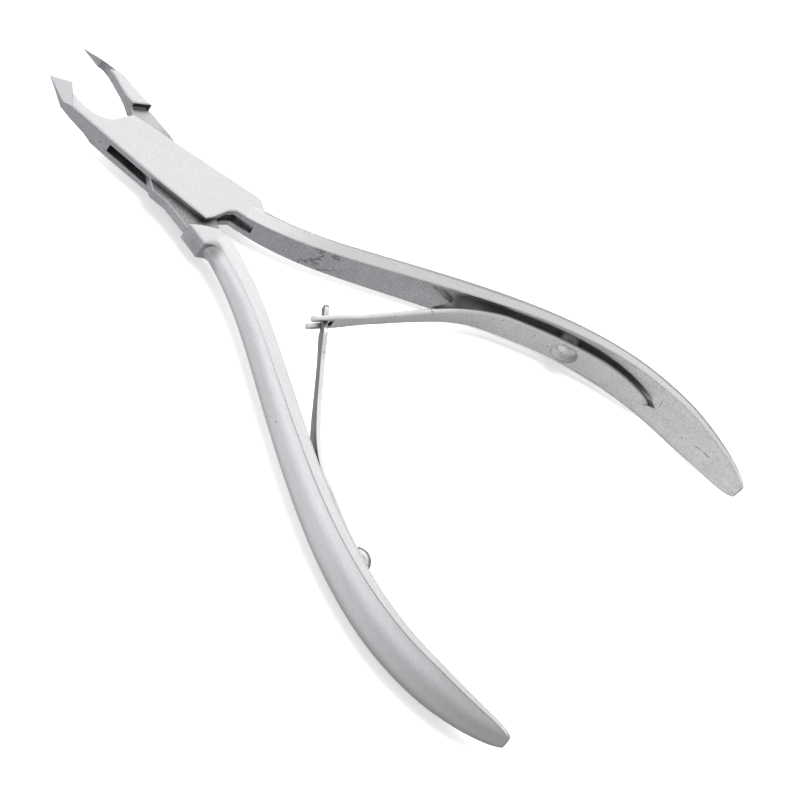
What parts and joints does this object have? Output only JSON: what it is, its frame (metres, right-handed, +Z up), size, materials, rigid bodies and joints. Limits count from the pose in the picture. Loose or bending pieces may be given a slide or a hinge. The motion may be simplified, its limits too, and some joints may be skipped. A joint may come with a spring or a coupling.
{
  "type": "cuticle nipper",
  "caption": "Box-jointed cuticle nipper with beak jaws, flared D-section handles and a crossed pair of riveted leaf springs, standing open.",
  "frame": {"origin": "on the pivot axis, at the flat lower face of the box joint", "axes": "+X from the pivot toward the handle ends along the line that halves the opening, +Y toward the female lever's handle, +Z up along the pivot axis"},
  "size_m": [0.1064, 0.063, 0.0091],
  "materials": {
    "forged_steel": "satin, fine grained",
    "pin_steel": "ground flush with the box",
    "spring_steel": "satin, brushed along its length",
    "rivet_steel": "tumbled"
  },
  "bodies": {
    "female": {"female_lever": "forged_steel", "pivot_pin": "pin_steel", "forked_spring_root": "spring_steel", "forked_spring_rivet": "rivet_steel"},
    "male": {"male_lever": "forged_steel", "tongued_spring_root": "spring_steel", "tongued_spring_rivet": "rivet_steel"},
    "forked_blade": {"forked_spring_blade": "spring_steel"},
    "tongued_blade": {"tongued_spring_blade": "spring_steel"}
  },
  "joints": [
    {"name": "pivot", "type": "hinge", "parent": "female", "child": "male", "pos_m": [0, 0, 0.00205], "axis": [0, 0, 1], "range_deg": [0, 18], "stiffness_Nm_per_rad": 0.8, "springref_deg": -6.88},
    {"name": "forked_spring_flex", "type": "hinge", "parent": "female", "child": "forked_blade", "pos_m": [0.04624, 0.02047, 0.00205], "axis": [0, 0, -1], "range_deg": [0, 11.3]},
    {"name": "tongued_spring_flex", "type": "hinge", "parent": "male", "child": "tongued_blade", "pos_m": [0.04624, -0.02047, 0.00205], "axis": [0, 0, 1], "range_deg": [0, 11.3]}
  ],
  "couplings": [
    {"joint": "forked_spring_flex", "follows": "pivot", "ratio": 0.622},
    {"joint": "tongued_spring_flex", "follows": "pivot", "ratio": 0.622}
  ]
}
